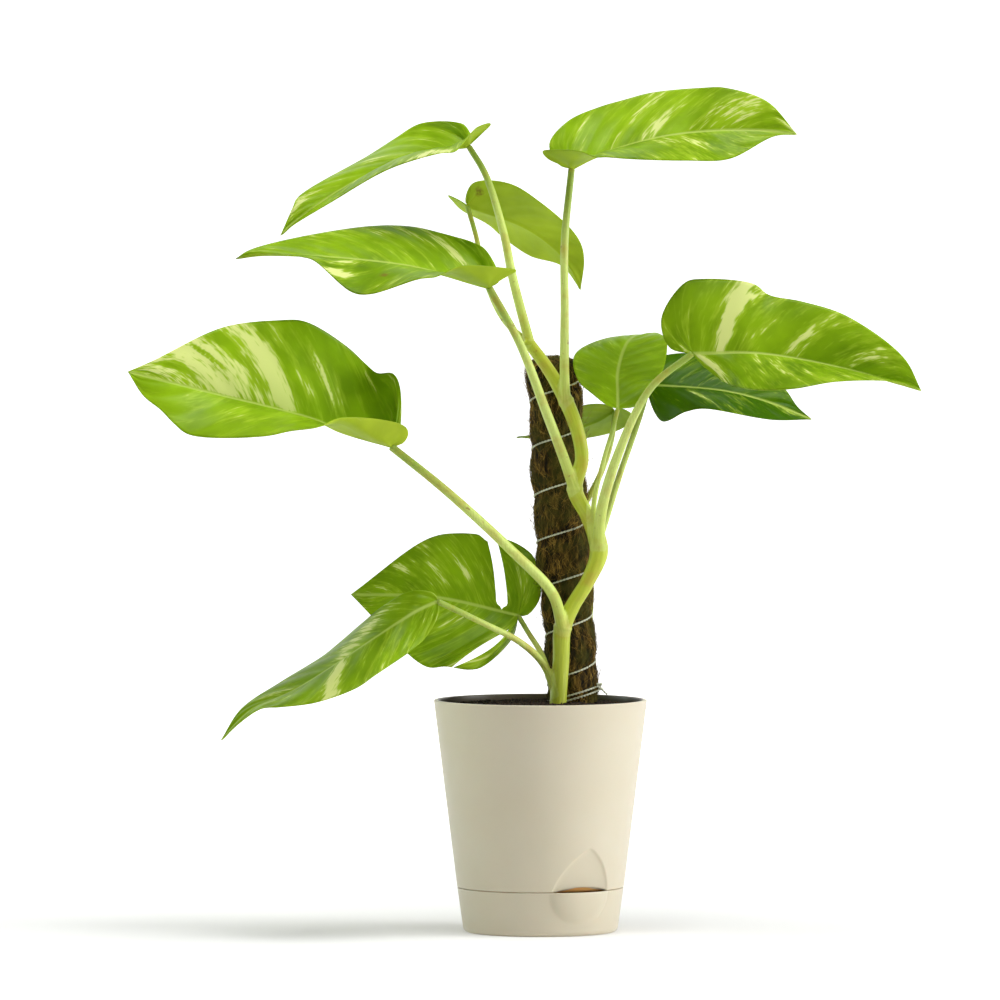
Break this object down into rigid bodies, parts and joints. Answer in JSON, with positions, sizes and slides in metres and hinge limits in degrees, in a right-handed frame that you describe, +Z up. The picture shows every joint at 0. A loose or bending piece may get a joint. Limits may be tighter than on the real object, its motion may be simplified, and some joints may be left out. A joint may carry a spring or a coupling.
{
  "type": "potted pothos plant",
  "caption": "Climbing foliage plant with large marbled heart-shaped leaves on a coir pole, in a tapered round pot over a water reservoir tray.",
  "frame": {"origin": "centre of the reservoir tray's flat underside, where the pot rests", "axes": "+Z up along the pot's axis; -Y is the front, the side the picture shows; +X is to the right as seen from the front"},
  "size_m": [0.4592, 0.1936, 0.4947],
  "materials": {
    "pot_shell": "smooth moulded cream, satin",
    "tray_shell": "smooth moulded cream, satin",
    "soil": "dark crumbly potting mix",
    "coir": "rough matted coconut fibre",
    "core": "plain turned stick",
    "twine": "pale twisted twine",
    "stem": "smooth living green, slightly ribbed",
    "leaf": "waxy leaf, glossy above and duller below, marbled cream"
  },
  "bodies": {
    "root": {"pot": "pot_shell", "reservoir_tray": "tray_shell", "potting_mix": "soil", "coir_sleeve": "coir", "pole_core": "core", "binding_thread": "twine", "main_vine": "stem", "back_vine": "stem", "blade_top_right": "leaf", "blade_top_left": "leaf", "blade_top_back": "leaf", "blade_upper_left": "leaf", "blade_left": "leaf", "blade_right": "leaf", "blade_right_lower": "leaf", "blade_right_small": "leaf", "blade_behind_pole": "leaf", "blade_low_back": "leaf", "blade_low_front": "leaf"}
  },
  "joints": []
}
